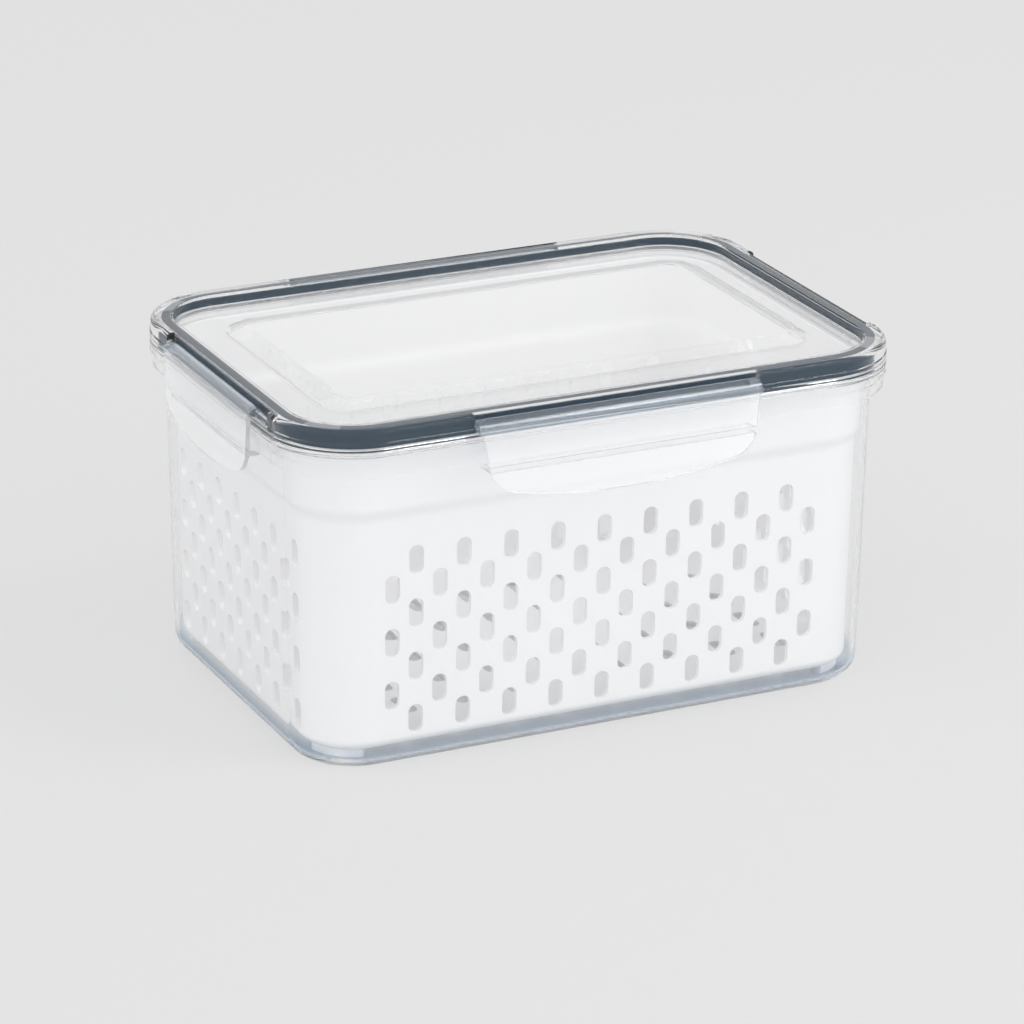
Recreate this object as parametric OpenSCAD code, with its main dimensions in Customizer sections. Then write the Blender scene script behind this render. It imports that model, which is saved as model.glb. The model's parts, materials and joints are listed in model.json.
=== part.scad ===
// Fridge container with a lift-out drain basket.
// A clear bin with a collar, a white slotted basket standing in it, a clear lid with a soft seal
// in its rim, and four clear latches that hinge in notches of the rim and hook under the collar.
// Millimetres, +Z up, origin at the middle of the base, front towards -Y.

/* [Overall] */
// Length over the two side latches
overall_l = 182; // [160:1:240]
// Depth over the front and back latches
overall_w = 135; // [120:1:180]
// Height to the top of the lid rim
overall_h = 97; // [80:1:140]
// Corner radius of the lid rim
rim_r = 24; // [20:0.5:26]

/* [Container] */
// Thickness of the walls and of the lip
wall_t = 1.5; // [1.2:0.1:2.2]
// Thickness of the floor
floor_t = 2; // [1.5:0.1:3]
// How far each wall leans in from the collar down to the base
wall_draft = 1.4; // [0.2:0.1:2]
// Radius of the rounded bottom edge outside
base_fillet = 6; // [4:0.5:8]
// Radius of the rounded bottom edge inside
inner_fillet = 3.5; // [2:0.5:4]
// Height of the collar that the latches hook under
collar_h = 7.2; // [6:0.1:9]
// Thickness of the collar and of the flange that carries it
collar_t = 1.4; // [1.2:0.1:1.8]
// Depth of the step in the outer face of the collar
collar_step = 0.7; // [0.3:0.1:1]
// Height of the lip above the flange
lip_h = 2.2; // [1.8:0.1:2.8]

/* [Lid] */
// Height of the rim, from its lower edge to its top
rim_h = 6.1; // [5.8:0.1:8]
// Height of the lower band of the rim
band_h = 2.6; // [2:0.1:3.5]
// Depth of the step between the two bands of the rim
band_step = 0.3; // [0.1:0.1:0.5]
// Thickness of the roof of the rim over the seal
roof_t = 0.9; // [0.8:0.1:2]
// Thickness of the inner wall of the rim
rim_wall = 0.8; // [0.7:0.1:1.4]
// Radius of the rounded outer edge on top of the rim
rim_edge = 1.4; // [0.8:0.1:1.8]
// Depth of the panel below the top of the rim
panel_drop = 2.6; // [1.5:0.1:3]
// Thickness of the panel
panel_t = 1.6; // [1.2:0.1:2.2]
// Distance of the raised field of the panel from the rim's outer face on the short sides
field_inset_l = 18; // [12:0.5:30]
// Distance of the raised field of the panel from the rim's outer face on the long sides
field_inset_w = 23; // [12:0.5:30]
// Corner radius of the raised field
field_r = 9; // [6:0.5:14]
// Height of the raised field above the panel
field_h = 2.1; // [1:0.1:2.4]
// Width of the slope round the raised field
field_slope = 4; // [0.8:0.1:4.5]

/* [Seal] */
// Thickness of the leg of the seal outside the lip
seal_leg = 0.6; // [0.5:0.1:1]

/* [Latches] */
// Length of the front and back latches
front_latch_l = 82; // [60:1:96]
// Length of the side latches
side_latch_l = 60; // [44:1:62]
// How far the finger lip of the front and back latches stands out of the rim
front_reach = 5; // [4:0.1:6]
// How far the hood of the front and back latches stands out of the rim
front_hood = 2.7; // [2:0.1:3.5]
// How far the side latches stand out of the rim
side_reach = 1.5; // [1.5:0.1:3]
// Free length of the notch in front of a side latch
side_relief = 8; // [1:0.5:8]
// Free length of the notch behind a side latch
rear_relief = 1; // [0.5:0.5:8]
// Thickness of the flaps
flap_t = 1.2; // [1:0.1:1.2]
// How far the flaps hang below the collar
flap_drop = 10.3; // [8:0.1:12]
// Radius of the lower corners of the flaps
flap_corner = 9; // [5:0.5:10]
// Rise of the bottom edge of a flap from its middle to its ends
flap_crown = 4.5; // [2:0.1:6]
// Depth of the hinge axis behind the outer face of the rim
hinge_inset = 1; // [0.9:0.1:1.2]
// Depth of the hinge axis below the top of the rim
hinge_drop = 2.9; // [2.6:0.1:3.2]
// Radius of the knuckle that turns in the notch
knuckle_r = 1.35; // [1.2:0.05:1.5]
// Radius of the hinge pins
pin_r = 0.7; // [0.5:0.05:0.8]
// Length of a hinge pin inside its bore
pin_l = 2.5; // [1.5:0.1:4]

/* [Basket] */
// Thickness of the basket walls
basket_t = 1.5; // [1.2:0.1:2]
// Thickness of the basket floor
basket_floor_t = 1.6; // [1.2:0.1:2.2]
// Corner radius of the basket at its top
basket_r = 17; // [15:0.5:20]
// Height of the corner feet
foot_h = 2.7; // [1.5:0.1:5]
// Width of the shoulder below the top of the basket
shoulder_w = 1.2; // [0.6:0.1:2]
// Height of the plain band above the shoulder
shoulder_h = 18; // [12:1:24]
// How far the basket walls lean in from the shoulder to the floor
basket_draft = 0.8; // [0.2:0.1:2]
// Width of a drain slot
slot_w = 4.2; // [3:0.1:5]
// Length of a drain slot in a wall
slot_l = 8; // [6:0.1:10]
// Distance between slot columns on the long walls
column_pitch_long = 6.8; // [6:0.1:10]
// Distance between slot columns on the short walls
column_pitch_short = 6.3; // [6:0.1:10]
// Distance between slot rows
row_pitch = 15; // [12:0.1:20]
// Length of a drain slot in the floor
floor_slot_l = 11; // [8:0.5:14]
// Distance between the slots in the floor
floor_pitch = 16; // [14:0.5:22]

/* [Clearances] */
// Gap between a latch and the pieces that it passes
latch_gap = 0.3; // [0.25:0.05:0.4]
// Radial gap of a hinge pin in its bore
pin_gap = 0.05; // [0.02:0.01:0.1]
// Gap on each side of the container lip
lip_gap = 0.3; // [0.2:0.05:0.5]
// Gap on each side of the seal in its channel
seal_gap = 0.1; // [0.05:0.05:0.2]
// Gap between the collar and the rim above it
rim_gap = 0.4; // [0.3:0.1:0.8]
// Gap between the bead of the basket and the container wall
basket_gap = 0.8; // [0.5:0.1:1.5]
// Gap between the top of the basket and the lower edge of the rim
headroom = 0.8; // [0.5:0.1:3]

/* [Hidden] */
$fn = 64;

// Plan of the rim; every swept section of bin, lid and seal turns about the same corner axes
rim_l = overall_l - 2 * side_reach;
rim_w = overall_w - 2 * front_reach;
core_l = rim_l - 2 * rim_r;
core_w = rim_w - 2 * rim_r;

// Plan of the raised field of the panel
field_core_l = rim_l - 2 * (field_inset_l + field_r);
field_core_w = rim_w - 2 * (field_inset_w + field_r);

// Insets from the outer face of the rim, from outside to inside
notch_depth = hinge_inset + knuckle_r + latch_gap;
notch_web = 0.5;
channel_out = notch_depth + notch_web;
seal_out = channel_out + seal_gap;
lip_out = seal_out + seal_leg + lip_gap;
lip_in = lip_out + wall_t;
channel_in = lip_in + lip_gap;
seal_in = channel_in - seal_gap;
rim_in = channel_in + rim_wall;
collar_in = collar_step + collar_t;
catch_in = collar_in + 0.7;

// Heights, from the top down
roof_z = overall_h - roof_t;
panel_z = overall_h - panel_drop;
hinge_z = overall_h - hinge_drop;
skirt_z = overall_h - rim_h;
ledge_z = skirt_z + band_h;
notch_z = hinge_z - knuckle_r - latch_gap;
field_z = panel_z + field_h;
plug_z = skirt_z + 0.8;
collar_top = skirt_z - rim_gap;
collar_z = collar_top - collar_h;
collar_step_z = collar_z + collar_h / 2;
lip_top = collar_top + lip_h;
catch_z = collar_z - latch_gap;
flap_z = collar_z - flap_drop;
basket_top = skirt_z - headroom;
basket_z = floor_t + foot_h;
shoulder_z = basket_top - shoulder_h;
shoulder_low_z = shoulder_z - 2 * shoulder_w;

// Small details
edge_cut = 0.3;
inner_edge = 0.8;
bead_w = 0.4;
bead_h = 2;
basket_fillet = 3;
basket_inner_fillet = 1.5;
foot_w = 4;
foot_inset = 2;
foot_angle = 70;
catch_t = 1.5;
crease_d = 0.6;
lip_curl = 0.6;
lip_curl_h = 4;
flap_step = 1;
flap_taper = 1;
hood_start = 80;
hood_end = 15;
shoulder_pin_r = pin_r + 0.2;
pin_root = 1;
slot_margin = 1.7;
through = 2 * (overall_l + overall_h);

// Plan of the basket
basket_l = rim_l - 2 * (lip_in + basket_gap + bead_w);
basket_w = rim_w - 2 * (lip_in + basket_gap + bead_w);
basket_core_l = basket_l - 2 * basket_r;
basket_core_w = basket_w - 2 * basket_r;
basket_foot_r = basket_r - shoulder_w - basket_draft - foot_inset;

// Slot rows of the basket walls
first_row_z = basket_z + basket_floor_t + slot_l / 2 + slot_margin;
row_steps = floor((shoulder_low_z - slot_l / 2 - 2 - first_row_z) / row_pitch);

// Place along a section at a given inset from the outer face of the rim
function at(inset) = rim_r - inset;

// Points of an arc about c, from angle a to angle b
function arc(c, r, a, b, n) = [for (i = [0:n]) let (t = a + (b - a) * i / n) c + r * [cos(t), sin(t)]];

// Outer face of the container wall at height z
function wall_x(z) = at(lip_out) - wall_draft * (1 - z / collar_z);

// Outer face of the basket wall at height z
function basket_x(z) =
    basket_r - shoulder_w - basket_draft * (shoulder_low_z - z) / (shoulder_low_z - basket_z);

// Sweeps a section round a rounded rectangle with the given core; its x is measured from the corner axes
module around(l, w) {
    for (k = [0:3]) {
        run = k % 2 == 0 ? l : w;
        off = (k % 2 == 0 ? w : l) / 2;
        rotate(90 * k) {
            translate([run / 2, off]) rotate_extrude(angle = 90) children();
            translate([-run / 2, off]) rotate([90, 0, 90]) linear_extrude(run) children();
        }
    }
}

// Puts a child on a side of the rim: 0 back, 1 left, 2 front, 3 right; x along it, y outward
module on_side(k) {
    rotate(90 * k) translate([0, (k % 2 == 0 ? rim_w : rim_l) / 2, 0]) children();
}

module core_plate(l, w, z, t) {
    translate([-l / 2, -w / 2, z]) cube([l, w, t]);
}

// Container: floor, drafted wall, stepped collar on a flange, and the lip that enters the lid
module container_section() {
    inner_z = floor_t + inner_fillet;
    polygon(concat(
        [[0, 0]],
        arc([wall_x(base_fillet) - base_fillet, base_fillet], base_fillet, 270, 360, 6),
        [[at(lip_out), collar_z],
         [at(lip_out), collar_top - collar_t],
         [at(collar_in), collar_top - collar_t],
         [at(collar_in), collar_z],
         [at(collar_step + edge_cut), collar_z],
         [at(collar_step), collar_z + edge_cut],
         [at(collar_step), collar_step_z],
         [at(0), collar_step_z + collar_step],
         [at(0), collar_top - edge_cut],
         [at(edge_cut), collar_top],
         [at(lip_out), collar_top],
         [at(lip_out), lip_top - edge_cut],
         [at(lip_out + edge_cut), lip_top],
         [at(lip_in - edge_cut), lip_top],
         [at(lip_in), lip_top - edge_cut],
         [at(lip_in), collar_z]],
        arc([wall_x(inner_z) - wall_t - inner_fillet, inner_z], inner_fillet, 360, 270, 5),
        [[0, floor_t]]
    ));
}

module container() {
    color([0.85, 0.9, 0.94, 0.35]) {
        around(core_l, core_w) container_section();
        core_plate(core_l, core_w, 0, floor_t);
    }
}

// Lid: rim with an open channel below, and a sunk panel
module lid_section() {
    polygon(concat(
        [[at(0), skirt_z],
         [at(0), ledge_z - band_step],
         [at(band_step), ledge_z]],
        arc([at(band_step + rim_edge), overall_h - rim_edge], rim_edge, 0, 90, 5),
        arc([at(rim_in - inner_edge), overall_h - inner_edge], inner_edge, 90, 180, 4),
        [[at(rim_in), panel_z],
         [0, panel_z],
         [0, panel_z - panel_t],
         [at(rim_in), panel_z - panel_t],
         [at(rim_in), plug_z],
         [at(channel_in), plug_z],
         [at(channel_in), roof_z],
         [at(channel_out), roof_z],
         [at(channel_out), skirt_z]]
    ));
}

// Block with sloped sides for the raised field of the panel and the hollow below it
module field_block(inset, low, foot, high) {
    r = field_r - inset;
    around(field_core_l, field_core_w)
        polygon([[0, low], [r, low], [r, foot], [r - field_slope, high], [0, high]]);
    core_plate(field_core_l, field_core_w, low, high - low);
}

// Notch in the rim for one latch, with the free lengths at its two ends
module latch_notch(length, near, far) {
    translate([-length / 2 - near, -notch_depth, notch_z])
        cube([length + near + far, notch_depth + rim_r, rim_h]);
}

// Pins that stand on the end walls of a notch, with a shoulder where the notch is longer than the latch
module notch_pins(length, near, far) {
    for (s = [0, 1]) mirror([s, 0, 0]) translate([0, -hinge_inset, hinge_z]) rotate([0, 90, 0]) {
        free = s == 0 ? far : near;
        translate([0, 0, length / 2 - pin_l]) cylinder(h = pin_l + free + pin_root, r = pin_r);
        if (free > latch_gap)
            translate([0, 0, length / 2 + latch_gap])
                cylinder(h = free - latch_gap + pin_root, r = shoulder_pin_r);
    }
}

module lid() {
    color([0.88, 0.92, 0.95, 0.35]) {
        difference() {
            union() {
                around(core_l, core_w) lid_section();
                core_plate(core_l, core_w, panel_z - panel_t, panel_t);
                field_block(0, panel_z - panel_t, panel_z, field_z);
            }
            field_block(panel_t, panel_z - 2 * panel_t, panel_z - panel_t, field_z - panel_t);
            for (k = [0, 2]) on_side(k) latch_notch(front_latch_l, latch_gap, latch_gap);
            for (s = [0, 1]) mirror([s, 0, 0]) on_side(1) latch_notch(side_latch_l, side_relief, rear_relief);
        }
        for (k = [0, 2]) on_side(k) notch_pins(front_latch_l, latch_gap, latch_gap);
        for (s = [0, 1]) mirror([s, 0, 0]) on_side(1) notch_pins(side_latch_l, side_relief, rear_relief);
    }
}

// Seal: a block that lies on the lip, with a leg down the outside of it
module seal_ring() {
    color([0.33, 0.4, 0.46])
        around(core_l, core_w) polygon([
            [at(seal_out), skirt_z + rim_gap],
            [at(seal_out + seal_leg), skirt_z + rim_gap],
            [at(seal_out + seal_leg), lip_top],
            [at(seal_in), lip_top],
            [at(seal_in), roof_z],
            [at(seal_out), roof_z]
        ]);
}

// Radius and centre of the hood of a latch, which runs on smoothly from the knuckle
function hood_r(hood) = (hood + hinge_inset - knuckle_r * cos(hood_start)) / (1 - cos(hood_start));
function hood_c(hood) =
    [-hinge_inset, hinge_z] - (hood_r(hood) - knuckle_r) * [cos(hood_start), sin(hood_start)];

// Angle at which the inner face of the hood runs into the knuckle
function hood_in(hood) = let (d = hood_r(hood) - knuckle_r, r = hood_r(hood) - flap_t)
    hood_start - acos((d * d + r * r - knuckle_r * knuckle_r) / (2 * d * r));

// Height of the crease between the hood and the flap of a latch
function crease_z(hood) = hood_c(hood)[1] + hood_r(hood) * sin(hood_end);

// Side view of a latch: knuckle, hollow hood, crease, flap with its finger lip, and the catch
module latch_section(hood, reach) {
    top_z = crease_z(hood) - crease_d;
    curl_x = reach == hood ? reach : reach - lip_curl;
    curl_z = flap_z + lip_curl_h;
    axis = [-hinge_inset, hinge_z];
    inner = arc(hood_c(hood), hood_r(hood) - flap_t, min(hood_end, hood_in(hood) - 5), hood_in(hood), 6);
    root = inner[6] - axis;
    function face(z) = hood + (curl_x - hood) * (top_z - z) / (top_z - curl_z);
    polygon(concat(
        arc(axis, knuckle_r, atan2(root[1], root[0]), hood_start - 345, 14),
        arc(hood_c(hood), hood_r(hood), hood_start, hood_end, 9),
        [[hood - crease_d, crease_z(hood) - crease_d / 2],
         [hood, top_z],
         [curl_x, curl_z],
         [reach, flap_z],
         [reach - flap_t, flap_z],
         [curl_x - flap_t, curl_z],
         [face(catch_z - catch_t) - flap_t, catch_z - catch_t],
         [-catch_in + edge_cut, catch_z - catch_t],
         [-catch_in, catch_z - catch_t + edge_cut],
         [-catch_in, catch_z - edge_cut],
         [-catch_in + edge_cut, catch_z],
         [face(catch_z) - flap_t, catch_z],
         [hood - flap_t, top_z]],
        [for (i = [0:5]) inner[i]]
    ));
}

// Front view of a latch: straight ends, rounded lower corners and a crowned bottom edge
module latch_outline(length, hood) {
    low = length / 2 - flap_step - flap_taper;
    corner_x = low - flap_corner;
    crown_r = (low * low + flap_crown * flap_crown) / (2 * flap_crown);
    crown = [0, flap_z + crown_r];
    corner_z = crown[1] - sqrt(pow(crown_r - flap_corner, 2) - corner_x * corner_x);
    tangent = atan2(corner_z - crown[1], corner_x);
    right = concat(
        [[length / 2, overall_h],
         [length / 2, crease_z(hood) - crease_d / 2],
         [length / 2 - flap_step, crease_z(hood) - crease_d]],
        arc([corner_x, corner_z], flap_corner, 0, tangent, 6));
    left = [for (i = [len(right) - 1:-1:0]) [-right[i][0], right[i][1]]];
    bottom = arc(crown, crown_r, tangent, -180 - tangent, 10);
    polygon(concat(right, [for (i = [1:len(bottom) - 2]) bottom[i]], left));
}

module latch(length, hood, reach) {
    color([0.88, 0.92, 0.95, 0.35])
        difference() {
            intersection() {
                translate([-length / 2, 0, 0]) rotate([90, 0, 90]) linear_extrude(length)
                    latch_section(hood, reach);
                rotate([90, 0, 0]) linear_extrude(through, center = true) latch_outline(length, hood);
            }
            for (s = [-1, 1]) translate([s * length / 2, -hinge_inset, hinge_z]) rotate([0, 90, 0])
                cylinder(h = 2 * (pin_l + latch_gap), r = pin_r + pin_gap, center = true);
        }
}

module front_latch() {
    on_side(2) latch(front_latch_l, front_hood, front_reach);
}

module back_latch() {
    on_side(0) latch(front_latch_l, front_hood, front_reach);
}

module left_latch() {
    on_side(1) latch(side_latch_l, side_reach, side_reach);
}

module right_latch() {
    on_side(3) latch(side_latch_l, side_reach, side_reach);
}

// Drain basket: floor, drafted wall, shoulder and a beaded top edge
module basket_section() {
    inner_z = basket_z + basket_floor_t + basket_inner_fillet;
    outer_z = basket_z + basket_fillet;
    polygon(concat(
        [[0, basket_z]],
        arc([basket_x(outer_z) - basket_fillet, outer_z], basket_fillet, 270, 360, 5),
        [[basket_r - shoulder_w, shoulder_low_z],
         [basket_r, shoulder_z],
         [basket_r, basket_top - bead_h],
         [basket_r + bead_w, basket_top - bead_h + bead_w],
         [basket_r + bead_w, basket_top - edge_cut],
         [basket_r + bead_w - edge_cut, basket_top],
         [basket_r - basket_t + edge_cut, basket_top],
         [basket_r - basket_t, basket_top - edge_cut],
         [basket_r - basket_t, shoulder_z],
         [basket_r - shoulder_w - basket_t, shoulder_low_z]],
        arc([basket_x(inner_z) - basket_t - basket_inner_fillet, inner_z], basket_inner_fillet, 360, 270, 4),
        [[0, basket_z + basket_floor_t]]
    ));
}

module slot(length) {
    square([slot_w, length - slot_w], center = true);
    for (s = [-1, 1]) translate([0, s * (length - slot_w) / 2]) circle(slot_w / 2, $fn = 24);
}

// Columns of wall slots, every second column half a row higher and one slot shorter
module wall_slots(straight, pitch) {
    half = floor(straight / 2 / pitch);
    for (i = [-half:half]) {
        odd = abs(i) % 2;
        for (j = [0:row_steps - odd])
            translate([i * pitch, first_row_z + (j + odd / 2) * row_pitch]) slot(slot_l);
    }
}

module floor_slots() {
    half_x = floor(basket_core_l / 2 / floor_pitch);
    half_y = floor(basket_core_w / 2 / floor_pitch);
    for (i = [-half_x:half_x], j = [-half_y:half_y])
        translate([i * floor_pitch, j * floor_pitch]) slot(floor_slot_l);
}

module corner_feet() {
    turn = (90 - foot_angle) / 2;
    for (k = [0:3]) rotate(90 * k)
        translate([(k % 2 == 0 ? basket_core_l : basket_core_w) / 2,
                   (k % 2 == 0 ? basket_core_w : basket_core_l) / 2])
            rotate(turn) rotate_extrude(angle = foot_angle)
                translate([basket_foot_r - foot_w, floor_t]) square([foot_w, foot_h + basket_floor_t / 2]);
}

module drain_basket() {
    color([0.96, 0.96, 0.96])
        difference() {
            union() {
                around(basket_core_l, basket_core_w) basket_section();
                core_plate(basket_core_l, basket_core_w, basket_z, basket_floor_t);
                corner_feet();
            }
            rotate([90, 0, 0]) linear_extrude(through, center = true)
                wall_slots(basket_core_l, column_pitch_long);
            rotate([90, 0, 90]) linear_extrude(through, center = true)
                wall_slots(basket_core_w, column_pitch_short);
            translate([0, 0, basket_z - foot_h]) linear_extrude(foot_h + 2 * basket_floor_t) floor_slots();
        }
}

container();
drain_basket();
lid();
seal_ring();
front_latch();
back_latch();
left_latch();
right_latch();
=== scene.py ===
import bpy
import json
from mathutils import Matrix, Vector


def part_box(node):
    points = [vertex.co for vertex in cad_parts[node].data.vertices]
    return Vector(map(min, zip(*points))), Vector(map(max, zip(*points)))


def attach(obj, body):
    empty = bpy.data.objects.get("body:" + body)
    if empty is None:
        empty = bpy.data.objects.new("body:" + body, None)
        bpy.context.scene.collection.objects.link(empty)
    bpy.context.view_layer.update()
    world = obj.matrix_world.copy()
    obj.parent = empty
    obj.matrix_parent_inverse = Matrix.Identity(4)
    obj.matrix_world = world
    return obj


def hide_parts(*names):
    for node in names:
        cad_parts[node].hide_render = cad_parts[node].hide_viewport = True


bl_info = {
    "name": "Fridge Container With Drain Basket",
    "version": (1, 0, 0),
    "blender": (4, 5, 0),
    "location": "View3D > Sidebar > Keeper",
    "description": "Dresses a clear lidded container, its slotted drain basket, soft seal and latches",
    "category": "Object",
}

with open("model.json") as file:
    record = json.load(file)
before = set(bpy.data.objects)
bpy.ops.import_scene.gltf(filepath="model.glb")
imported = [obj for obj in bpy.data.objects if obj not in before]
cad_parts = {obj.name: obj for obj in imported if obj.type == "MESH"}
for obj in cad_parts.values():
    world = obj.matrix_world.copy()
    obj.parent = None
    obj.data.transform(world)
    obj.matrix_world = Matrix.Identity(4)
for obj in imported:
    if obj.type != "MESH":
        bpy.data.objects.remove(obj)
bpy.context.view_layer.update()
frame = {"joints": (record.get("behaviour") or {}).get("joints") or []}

import json
from math import acos, atan2, cos, degrees, pi, radians, sin, sqrt, tan

import bmesh
import bpy
from bpy.props import FloatProperty, FloatVectorProperty, IntProperty, PointerProperty
from mathutils import Matrix, Vector

MM = 0.001
CORNER_STEPS = 20
FILLET_STEPS = 5
BEND_STEPS = 7
MERGE = 1e-7
SEAM = 0.02 * MM
FLAT_RISE = 0.9995
PHOTO_SIDE = 1024
SENSOR = 36.0

LID_LOW, LID_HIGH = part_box("lid")
_, BIN_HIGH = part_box("container")
BASKET_LOW, BASKET_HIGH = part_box("drain_basket")
SEAL_LOW, SEAL_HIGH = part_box("seal_ring")
HINGES = {joint["name"]: Vector(joint["pos_m"]) for joint in frame["joints"] if "pos_m" in joint}


# Properties


def length(name, description, default):
    """A length that a user may change; its default is in millimetres."""
    return FloatProperty(name=name, description=description, default=default * MM, unit="LENGTH",
                         subtype="DISTANCE", precision=5)


def colour(name, description, default):
    """A colour that a user may change."""
    return FloatVectorProperty(name=name, description=description, default=default, subtype="COLOR",
                               size=3, min=0, max=1)


class KeeperSizes(bpy.types.PropertyGroup):
    """Sizes of the pieces; their outlines are taken from the frame."""

    rim_radius: length("Rim Radius", "Corner radius of the lid rim", 24)
    wall: length("Wall", "Thickness of the container wall and lip", 1.5)
    floor: length("Floor", "Thickness of the container floor", 2)
    wall_draft: length("Wall Draft", "How far the container walls lean in towards the base", 1.4)
    base_fillet: length("Base Fillet", "Radius of the outer bottom edge", 6)
    inner_fillet: length("Inner Fillet", "Radius of the inner bottom edge", 3.5)
    lip_inset: length("Lip Inset", "Distance of the lip from the outer face of the rim", 4.15)
    lip_height: length("Lip Height", "Height of the lip above the flange", 2.2)
    collar_height: length("Collar Height", "Height of the collar", 7.2)
    collar: length("Collar", "Thickness of the collar", 1.4)
    collar_step: length("Collar Step", "Depth of the step in the collar", 0.7)
    rim_width: length("Rim Width", "Width of the lid rim", 6.75)
    channel_outer: length("Channel Outer", "Distance of the seal channel from the outer face", 3.15)
    channel_inner: length("Channel Inner", "Far side of the seal channel from the outer face", 5.95)
    roof: length("Roof", "Thickness of the rim over the seal", 0.9)
    band: length("Band", "Height of the lower band of the rim", 2.6)
    band_step: length("Band Step", "Step between the two bands of the rim", 0.3)
    panel_drop: length("Panel Drop", "Depth of the panel below the rim", 2.6)
    panel: length("Panel", "Thickness of the panel", 1.6)
    field_ends: length("Field Ends", "Distance of the raised field from the short sides of the rim", 18)
    field_sides: length("Field Sides", "Distance of the raised field from the long sides of the rim", 23)
    field_radius: length("Field Radius", "Corner radius of the raised field", 9)
    field_height: length("Field Height", "Height of the raised field above the panel", 2.1)
    field_slope: length("Field Slope", "Width of the slope round the raised field", 4)
    seal_leg: length("Seal Leg", "Thickness of the outer leg of the seal", 0.6)
    notch: length("Notch", "Depth of the latch notches in the rim", 2.65)
    side_relief: length("Side Relief", "Free length of a notch in front of a side latch", 8)
    rear_relief: length("Rear Relief", "Free length of a notch behind a side latch", 1)
    latch_gap: length("Latch Gap", "Gap between a latch and what it passes", 0.3)
    knuckle: length("Knuckle", "Radius of the latch knuckle", 1.35)
    pin: length("Pin", "Radius of the hinge pins", 0.7)
    pin_length: length("Pin Length", "Length of a hinge pin inside its bore", 2.5)
    front_hood: length("Front Hood", "Reach of the hood of the front and back latches", 2.7)
    flap: length("Flap", "Thickness of the flaps", 1.2)
    flap_corner: length("Flap Corner", "Radius of the lower corners of a flap", 9)
    flap_crown: length("Flap Crown", "Rise of the bottom edge of a flap", 4.5)
    basket_wall: length("Basket Wall", "Thickness of the basket wall", 1.5)
    basket_floor: length("Basket Floor", "Thickness of the basket floor", 1.6)
    basket_radius: length("Basket Radius", "Corner radius of the basket", 17)
    basket_foot: length("Basket Foot", "Height of the corner feet", 2.7)
    basket_bead: length("Basket Bead", "How far the bead stands out of the basket wall", 0.4)
    basket_draft: length("Basket Draft", "How far the basket walls lean in", 0.8)
    shoulder: length("Shoulder", "Width of the basket shoulder", 1.2)
    shoulder_height: length("Shoulder Height", "Height of the plain band of the basket", 18)
    slot_width: length("Slot Width", "Width of a drain slot", 4.2)
    slot_length: length("Slot Length", "Length of a drain slot in a wall", 8)
    long_pitch: length("Long Pitch", "Distance of slot columns on the long walls", 6.8)
    short_pitch: length("Short Pitch", "Distance of slot columns on the short walls", 6.3)
    row_pitch: length("Row Pitch", "Distance of slot rows", 15)
    floor_slot: length("Floor Slot", "Length of a drain slot in the floor", 11)
    floor_pitch: length("Floor Pitch", "Distance of the floor slots", 16)
    slot_rows: IntProperty(name="Slot Rows", description="Slots in a full column", default=4)
    edge: length("Edge", "Radius of the small softened edges", 0.3)


class KeeperFinishes(bpy.types.PropertyGroup):
    """Colours of the plastics and of the stage."""

    clear: colour("Clear Plastic", "Tint of the clear pieces", (0.987, 0.989, 0.992))
    clear_deep: colour("Clear Depth", "Tint of light inside thick clear plastic", (0.64, 0.69, 0.75))
    # Painted shade: the hoods are a darker blue-grey copy of the clear plastic, standing in for the dark
    # seal seen through them.
    hood: colour("Hood", "Tint of the latch hoods", (0.60, 0.67, 0.73))
    # Painted shade: darker blue-grey on the container's bottom edge, standing in for the shaded gap under
    # the basket seen through the wall.
    foot_painted_shade: colour("Painted Foot Shade", "Tint of the container's bottom edge", (0.64, 0.71, 0.79))
    basket: colour("Basket", "Colour of the white basket", (0.905, 0.903, 0.905))
    seal: colour("Seal", "Colour of the soft seal", (0.014, 0.034, 0.055))
    ground: colour("Ground", "Colour of the floor and backdrop", (0.76, 0.76, 0.762))


# Outlines and meshes


def arc(centre, radius, start, end, steps):
    """Points of an arc, angles in degrees."""
    turns = [radians(start + (end - start) * i / steps) for i in range(steps + 1)]
    return [(centre[0] + radius * cos(t), centre[1] + radius * sin(t)) for t in turns]


def soften(corners, steps=FILLET_STEPS):
    """Rounds each corner of an outline of (x, z, radius) corners; a closed one repeats no point."""
    points = []
    count = len(corners)
    for i, (x, z, radius) in enumerate(corners):
        here = Vector((x, z))
        before = Vector(corners[i - 1][:2]) - here
        after = Vector(corners[(i + 1) % count][:2]) - here
        half = before.angle(after, pi) / 2
        if radius <= 0 or half > radians(89.5):
            points.append((x, z))
            continue
        reach = min(radius / tan(half), 0.49 * before.length, 0.49 * after.length)
        true_radius = reach * tan(half)
        middle = (before.normalized() + after.normalized()).normalized()
        centre = here + middle * (true_radius / sin(half))
        first = here + before.normalized() * reach - centre
        last = here + after.normalized() * reach - centre
        a0 = atan2(first.y, first.x)
        turn = (atan2(last.y, last.x) - a0 + pi) % (2 * pi) - pi
        for k in range(steps + 1):
            a = a0 + turn * k / steps
            points.append((centre.x + true_radius * cos(a), centre.y + true_radius * sin(a)))
    return points


def new_object(name, bm, smooth=True):
    """Turns a bmesh into an object in the scene, with doubles merged and faces outward."""
    bmesh.ops.remove_doubles(bm, verts=bm.verts, dist=MERGE)
    bmesh.ops.dissolve_degenerate(bm, edges=bm.edges, dist=MERGE)
    bmesh.ops.recalc_face_normals(bm, faces=bm.faces)
    mesh = bpy.data.meshes.new(name)
    bm.to_mesh(mesh)
    bm.free()
    for polygon in mesh.polygons:
        polygon.use_smooth = smooth
    obj = bpy.data.objects.new(name, mesh)
    bpy.context.scene.collection.objects.link(obj)
    return obj


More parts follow.
